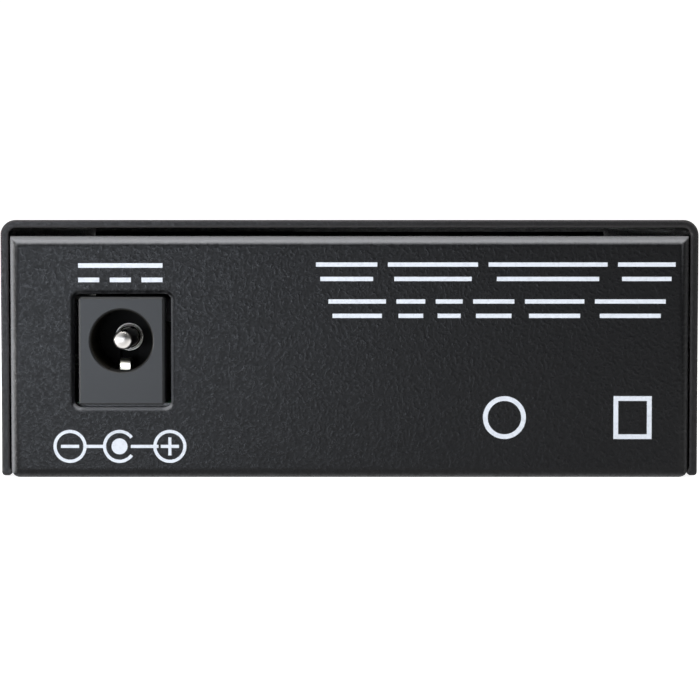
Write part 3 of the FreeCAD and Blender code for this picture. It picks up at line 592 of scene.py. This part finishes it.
shaft_r, dome_r, neck, tab, tab_inset = 1.0, 2.2, 0.7, 0.4, 0.4
profile = [(r, tip + dome_r - math.sqrt(dome_r ** 2 - r ** 2))
           for r in (0.02, 0.25, 0.45, 0.62, 0.76, 0.87)]
shoulder = ((0.95, 0.26), (0.99, 0.4), (shaft_r, 0.6))
profile += [(r, tip + y) for r, y in shoulder]
grooved_collar = ((shaft_r, 0.2), (1.2, 0.42), (1.24, 0.46), (1.28, 0.42), (1.38, 0.22),
                  (1.43, 0.22), (1.46, 0.26), (collar_r, 0.22), (collar_r, 0))
profile += [(r, back - y) for r, y in grooved_collar]
pin = assembled("centre_pin",
                [turned(profile, mouth_x, mouth_z),
                 boxed((mouth_x - neck, back, mouth_z - neck),
                       (mouth_x + neck, pin_high.y, mouth_z + neck)),
                 boxed((pin_low.x + tab_inset, pin_high.y - tab, pin_low.z),
                       (pin_high.x - tab_inset, pin_high.y, pin_high.z - tab_inset))],
                pin_plate)
soften(pin, 0.02)
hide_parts("jack_centre_pin")


# Spring contact and switch contact: phosphor bronze strip, nickel plated.  The leaf rises from
# its solder tail, arches into the mouth and curls down over the fixed contact that it rests on.

def eased(path, reach):
    """The path with each inner corner turned into a curve that starts at reach from it."""
    steps, path = 5, [Vector(p) for p in path]
    curve = [path[0]]
    for before, corner, after in zip(path, path[1:], path[2:]):
        start = corner + (before - corner).normalized() * min(reach, (before - corner).length / 2)
        end = corner + (after - corner).normalized() * min(reach, (after - corner).length / 2)
        for n in range(steps + 1):
            t = n / steps
            curve.append(start * (1 - t) ** 2 + corner * 2 * t * (1 - t) + end * t ** 2)
    return curve + [path[-1]]


def strip(path, thickness, low, high):
    """Flat metal strip bent along a line of (y, z) points, as wide as a node's box."""
    rings = []
    for n, here in enumerate(path):
        heading = (path[min(n + 1, len(path) - 1)] - path[max(n - 1, 0)]).normalized()
        normal = Vector((-heading.y, heading.x)) * thickness / 2
        rings.append([(x, here.x + up * normal.x, here.y + up * normal.y)
                      for x, up in ((low.x, -1), (high.x, -1), (high.x, 1), (low.x, 1))])
    return swept(rings)


spring_plate = plated("spring_plate", (0.8, 0.76, 0.63), 0.36)
low, high = in_mm("jack_spring_contact")
leaf, hump_rise, tail_height, hump_run, tip_drop = 0.28, 0.35, 5.3, 1.1, 1.45
hump_z, front, tail = high.z - leaf / 2 + hump_rise, low.y + leaf / 2, high.y - leaf / 2
route = eased([(tail, low.z), (tail, low.z + tail_height), (front + 3.4, hump_z - 0.25),
               (front + hump_run, hump_z), (front, hump_z - 0.05), (front, hump_z - tip_drop)], 0.4)
contact = assembled("spring_contact", [strip(route, leaf, low, high)], spring_plate)
soften(contact, 0.03)
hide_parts("jack_spring_contact")
dress("jack_switch_contact", spring_plate, 0.05)


# Case screws: short countersunk steel screws, black zinc plated, one through each side of the
# cover into the tray's low wall, with a cross recess.

black_zinc = plated("black_zinc", (0.09, 0.09, 0.095), 0.34)
dress("cover_screws", black_zinc, 0.05)


# Posts and board screws: hexagonal steel posts pressed into the tray's floor and two pan head
# screws that hold the board down on them, all bright zinc plated.

bright_zinc = plated("bright_zinc", (0.66, 0.67, 0.7), 0.3, 0.6, (1, 1, 0.2))
dress("board_standoffs", bright_zinc, 0.06)
dress("board_screws", bright_zinc, 0.06)


# Circuit board: 1.6 mm glass-fibre board.  Both faces have a green mask over the copper, and
# the routed edges show the bare resin, which is dark.  Tracks stand up a little under the mask.

board_top = in_mm("circuit_board")[1].z
mask_green = moulded("green_mask", (0.012, 0.09, 0.035), 0.3, 0.7, 0.01)
made, join = mask_green.node_tree.nodes, mask_green.node_tree.links
around = made.new("ShaderNodeNewGeometry")
upright = made.new("ShaderNodeSeparateXYZ")
join.new(around.outputs["Normal"], upright.inputs[0])
level = maths(made, join, "ABSOLUTE", upright.outputs["Z"], 0.0)
is_edge = maths(made, join, "LESS_THAN", level, 0.5)
resin = (0.012, 0.01, 0.006)
join.new(laid_over(made, join, is_edge, made["Color Ramp"].outputs["Color"], resin),
         made["Principled BSDF"].inputs["Base Color"])
dress("circuit_board", mask_green, 0.05)

track_green = moulded("track_green", (0.02, 0.14, 0.05), 0.28, 0.7, 0.01)


def on_board(u, v, height):
    """Point on the board's upper face."""
    return (u, v, board_top + height)


def track(path, width):
    """Outlines of a copper track along (x, y) points, one square-ended length for each run."""
    outlines = []
    for start, end in zip(path, path[1:]):
        run = Vector((end[0] - start[0], end[1] - start[1]))
        side = Vector((-run.y, run.x)).normalized() * width / 2
        corners = ((start, side), (end, side), (end, -side), (start, -side))
        outlines.append([(p[0] + q.x, p[1] + q.y) for p, q in corners])
    return outlines


insert_low, insert_high = in_mm("rj45_housing")
coil_low, coil_high = in_mm("isolation_transformer")
chip_low, chip_high = in_mm("converter_chip")
port_x, chip_y = (insert_low.x + insert_high.x) / 2, (chip_low.y + chip_high.y) / 2
port_pitch, coil_pitch, chip_pitch, side_pitch, spread_pitch = 1.02, 1.45, 0.9, 0.8, 1.1
thick_track, thin_track, track_height = 0.3, 0.25, 0.035
routes = []
for step in [n - 3.5 for n in range(8)]:
    port, coil, chip = [port_x + pitch * step for pitch in (port_pitch, coil_pitch, chip_pitch)]
    side, far = chip_y + side_pitch * step, chip_y + 3 + spread_pitch * step
    routes += track([(port, insert_low.y + 0.4), (port, insert_low.y - 0.6),
                     (coil, insert_low.y - 2), (coil, coil_high.y - 0.6)], thick_track)
    routes += track([(coil, coil_low.y + 0.6), (coil, coil_low.y - 3),
                     (chip, coil_low.y - 6), (chip, chip_high.y - 0.5)], thin_track)
    routes += track([(chip_low.x + 0.5, side), (chip_low.x - 2, side),
                     (chip_low.x - 12 - step, far), (chip_low.x - 19 - step, far)], thin_track)
printed("board_tracks", routes, track_green, on_board, track_height)


# Network port insert: black moulding with the plug space, its latch recess and the comb slot
# that keeps the eight wires apart.  It is clicked into the shield from below.

insert_black = moulded("insert_black", (0.014, 0.014, 0.015), 0.45)
dress("rj45_housing", insert_black, 0.08)


# Network port wires: eight phosphor bronze wires, gold flashed.  Each comes up from its solder
# tail, runs over the insert and turns back down into the plug space as a free spring.

gold = plated("gold_flash", (0.95, 0.7, 0.32), 0.22, 0.3)
wire, turn_drop, spring_back, spring_drop = 0.3, 0.9, 7.4, 5.4
for n in range(1, 9):
    low, high = in_mm(f"rj45_contact_{n}")
    tail, run_z, turn = low.y + wire / 2, high.z - wire / 2, high.y - wire / 2
    route = eased([(tail, low.z), (tail, run_z), (turn, run_z), (turn, run_z - turn_drop),
                   (turn - spring_back, run_z - spring_drop)], 0.42)
    sprung = assembled(f"network_wire_{n}", [strip(route, wire, low, high)], gold)
    soften(sprung, 0.04)
    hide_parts(f"rj45_contact_{n}")


# Network port shield: tinned brass sheet folded round the insert, with sprung fingers that
# press on the edge of the front panel's opening.

tin = plated("tin_plate", (0.36, 0.36, 0.35), 0.3, 1.1, (1, 1, 0.2))
dress("rj45_shield", tin, 0.05)


# Fibre receptacle: blue moulded twin socket, held by the module behind, its flange close to the
# panel.  Each mouth has a chamfer and a keyway, and two hooked arms that latch on the plug.

socket_blue = moulded("socket_blue", (0.012, 0.06, 0.3), 0.38, 0.3)
dress("fibre_receptacle", socket_blue, 0.08)


# Fibre module: the transmitter and the receiver potted in one dark box, with two turned
# barrels that line the ferrules up, and a row of square pins soldered to the board.

module_dark = moulded("module_dark", (0.02, 0.02, 0.023), 0.4, 0.5)
dress("fibre_module_housing", module_dark, 0.12)
barrel_metal = plated("barrel_metal", (0.4, 0.39, 0.37), 0.26, 0.25)
for barrel in ("transmit_barrel", "receive_barrel"):
    dress(barrel, barrel_metal, 0.08)
dress("fibre_module_pins", tin, 0.04)


# Option switch: black moulded body with a slot for each of four white levers, which slide up
# for on.  The figures are printed on its face; two rows of square tails go through the board.

switch_black = moulded("switch_black", (0.016, 0.016, 0.018), 0.4)
dress("dip_switch_housing", switch_black, 0.08)
dress("dip_terminals", tin, 0.04)
lever_white = moulded("lever_white", (0.8, 0.8, 0.76), 0.35, 0.4)
lever_ink = paint("lever_ink", (0.8, 0.8, 0.8), 0.5)


def figures(name, text, size, x, y, z, surface):
    """Raised print that reads from the front, centred on a point of a face at y."""
    letters = bpy.data.curves.new(name, "FONT")
    letters.body, letters.size, letters.extrude = text, size * MM, 0.015 * MM
    letters.align_x, letters.align_y = "CENTER", "CENTER"
    writing = bpy.data.objects.new(name, letters)
    bpy.context.scene.collection.objects.link(writing)
    bpy.context.view_layer.update()
    mesh = bpy.data.meshes.new_from_object(writing)
    bpy.data.objects.remove(writing)
    shape = bmesh.new()
    shape.from_mesh(mesh)
    bmesh.ops.remove_doubles(shape, verts=shape.verts, dist=0.0001 * MM)
    bmesh.ops.transform(shape, matrix=Matrix.Translation(Vector((x, y, z)) * MM)
                        @ Matrix.Rotation(math.pi, 4, "Z") @ Matrix.Rotation(math.pi / 2, 4, "X"),
                        verts=shape.verts)
    shape.to_mesh(mesh)
    shape.free()
    mesh.materials.clear()
    mesh.materials.append(surface)
    piece = bpy.data.objects.new(name, mesh)
    bpy.context.scene.collection.objects.link(piece)
    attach(piece, "case")


low, high = in_mm("dip_switch_housing")
text_size, figure_rise, on_inset, on_drop = 1.15, 0.85, 1.9, 0.78
for n in range(1, 5):
    lever_low, lever_high = in_mm(f"dip_lever_{n}")
    dress(f"dip_lever_{n}", lever_white, 0.06)
    figures(f"lever_figure_{5 - n}", str(5 - n), text_size, (lever_low.x + lever_high.x) / 2,
            high.y, low.z + figure_rise, lever_ink)
figures("on_mark", "ON", text_size, high.x - on_inset, high.y, high.z - on_drop, lever_ink)


# Light guide: one clear acrylic moulding whose six legs stand over the light sources and turn
# to the panel at mirrored elbows.  Two feet peg it to the board.

guide_clear, made, join, shader = finish("clear_acrylic", (0.95, 0.97, 0.98), 0.12)
shader.inputs["Transmission Weight"].default_value = 0.9
shader.inputs["IOR"].default_value = 1.49
flow = noise(made, join, made.new("ShaderNodeTexCoord").outputs["Object"], 1.5).outputs["Fac"]
join.new(rescaled(made, join, flow, 0.08, 0.3), shader.inputs["Roughness"])
join.new(shaded(made, join, flow, (0.86, 0.9, 0.92), (0.96, 0.98, 0.99)),
         shader.inputs["Base Color"])
dress("light_guide", guide_clear, 0.08)


# Light sources: six small surface-mounted ones, soldered down.  Each is a white moulded base
# with a pale yellow window cast over the die.

def two_part(name, low, high, inner, outer, inner_gloss, outer_gloss, metal):
    """Surface that is one finish inside a block given by two corners and another outside it."""
    surface, made, join, shader = finish(name, inner, inner_gloss)
    place = made.new("ShaderNodeTexCoord").outputs["Object"]
    middle = made.new("ShaderNodeVectorMath")
    middle.operation = "SUBTRACT"
    middle.inputs[1].default_value = (low + high) / 2 * MM
    apart = made.new("ShaderNodeVectorMath")
    apart.operation = "ABSOLUTE"
    past = made.new("ShaderNodeVectorMath")
    past.operation = "SUBTRACT"
    past.inputs[1].default_value = (high - low) / 2 * MM
    parts = made.new("ShaderNodeSeparateXYZ")
    join.new(place, middle.inputs[0])
    join.new(middle.outputs[0], apart.inputs[0])
    join.new(apart.outputs[0], past.inputs[0])
    join.new(past.outputs[0], parts.inputs[0])
    most = maths(made, join, "MAXIMUM", parts.outputs["X"],
                 maths(made, join, "MAXIMUM", parts.outputs["Y"], parts.outputs["Z"]))
    outside = maths(made, join, "GREATER_THAN", most, 0.0)
    dark, light = [c * 0.8 for c in inner], [c * 1.2 for c in inner]
    speckle = noise(made, join, place, 0.3).outputs["Fac"]
    join.new(laid_over(made, join, outside, shaded(made, join, speckle, dark, light), outer),
             shader.inputs["Base Color"])
    join.new(rescaled(made, join, outside, inner_gloss, outer_gloss), shader.inputs["Roughness"])
    if metal:
        join.new(outside, shader.inputs["Metallic"])
    return surface


low, high = in_mm("status_led_1")
base_height, white_base, yellow_window = 0.42, (0.75, 0.75, 0.72), (0.85, 0.72, 0.25)
light_surface = two_part("light_source", Vector((*tray_low.xy, low.z - 1)),
                         Vector((*tray_high.xy, low.z + base_height)),
                         white_base, yellow_window, 0.5, 0.15, False)
for n in range(1, 7):
    dress(f"status_led_{n}", light_surface, 0.04)


# Chips and transformer: black epoxy moulded round tinned copper legs, which are bent down and
# soldered flat to the board.  The regulator also has a wide cooling tab.

black_epoxy, tinned_leg = (0.016, 0.016, 0.017), (0.7, 0.7, 0.68)
leg, cooling_tab, beyond = 1.1, 1.6, -1
both_ways, along_y = (leg, leg, beyond), (beyond, leg, beyond)
for node, low_reach, high_reach in (
        ("converter_chip", both_ways, both_ways), ("memory_chip", along_y, along_y),
        ("isolation_transformer", along_y, along_y),
        ("power_regulator", (beyond, cooling_tab, beyond), along_y)):
    low, high = in_mm(node)
    epoxy = two_part(node + "_epoxy", low + Vector(low_reach), high - Vector(high_reach),
                     black_epoxy, tinned_leg, 0.55, 0.3, True)
    dress(node, epoxy, 0.04)


# Crystal: a quartz plate sealed in a drawn nickel silver can, which is welded to its rim and
# soldered down flat on the board.

crystal_can = plated("crystal_can", (0.7, 0.69, 0.66), 0.26, 0.9, (0.2, 1, 1))
dress("crystal", crystal_can, 0.12)


# Smoothing capacitor: aluminium can in a shrunk sleeve with a pale stripe at the negative side.
# The can's end shows above the sleeve, scored so that it vents before it bursts.

low, high = in_mm("smoothing_capacitor")
sleeve = two_part("capacitor_sleeve", low + Vector((-1, -1, 0.2)), high - Vector((-1, -1, 0.15)),
                  (0.01, 0.016, 0.04), (0.8, 0.8, 0.82), 0.3, 0.25, True)
dress("smoothing_capacitor", sleeve, 0.2)
can_x, can_y, can_r = (low.x + high.x) / 2, (low.y + high.y) / 2, (high.x - low.x) / 2
stripe_ink = paint("stripe_ink", (0.55, 0.56, 0.58), 0.4)
stripe_low, stripe_height, stripe_half = low.z + 2.4, 7.9, 28
printed("capacitor_stripe", arc((can_x, can_y), can_r, 0.03, -stripe_half, stripe_half),
        stripe_ink, lambda u, v, height: (u, v, stripe_low + height), stripe_height)
score = paint("score_line", (0.25, 0.25, 0.26), 0.4)
score_line, score_long, score_arm, score_height = 0.25, 3.6, 1.69, 0.012
arm_x = (score_line + score_arm) / 2
crossed = bar((can_x, can_y), score_line, score_long)
for way in (-1, 1):
    crossed += bar((can_x + way * arm_x, can_y), score_arm, score_line)
printed("capacitor_score", crossed, score, lambda u, v, height: (u, v, high.z + height),
        score_height)


# Power inductor: a winding on a ferrite drum, closed in a square ferrite ring that is pressed
# and fired.  The drum's round end shows in the middle.

ferrite = moulded("ferrite", (0.045, 0.045, 0.05), 0.6, 0.15, 0.02)
dress("power_inductor", ferrite, 0.1)


# Marks on the front panel: white ink.  An arrow out of the port that sends and one into the
# port that receives, and a short bar over each column of lights.

def on_front(u, v, height):
    """Point on the front panel."""
    return (u, tray_high.y + height, v)


socket_low, socket_high = in_mm("fibre_receptacle")
socket_x, arrow_z, pitch = (socket_low.x + socket_high.x) / 2, socket_high.z + 2.2, 12.7
shaft_line, shaft_long, head_half, head_base, head_tip = 0.36, 1.5, 0.8, 0.3, 1.3
arrows = []
for x, way in ((socket_x - pitch / 2, 1), (socket_x + pitch / 2, -1)):
    arrows += bar((x, arrow_z + way * (head_base - shaft_long / 2)), shaft_line, shaft_long)
    arrows.append([(x - head_half, arrow_z + way * head_base),
                   (x + head_half, arrow_z + way * head_base), (x, arrow_z + way * head_tip)])
printed("port_arrows", arrows, white_ink, on_front)

guide_low, guide_high = in_mm("light_guide")
guide_x, bar_z, light_pitch = (guide_low.x + guide_high.x) / 2, guide_high.z + 0.9, 4
light_bars = []
for n in (-1, 0, 1):
    light_bars += bar((guide_x + light_pitch * n, bar_z), 2.2, shaft_line)
printed("light_bars", light_bars, white_ink, on_front)
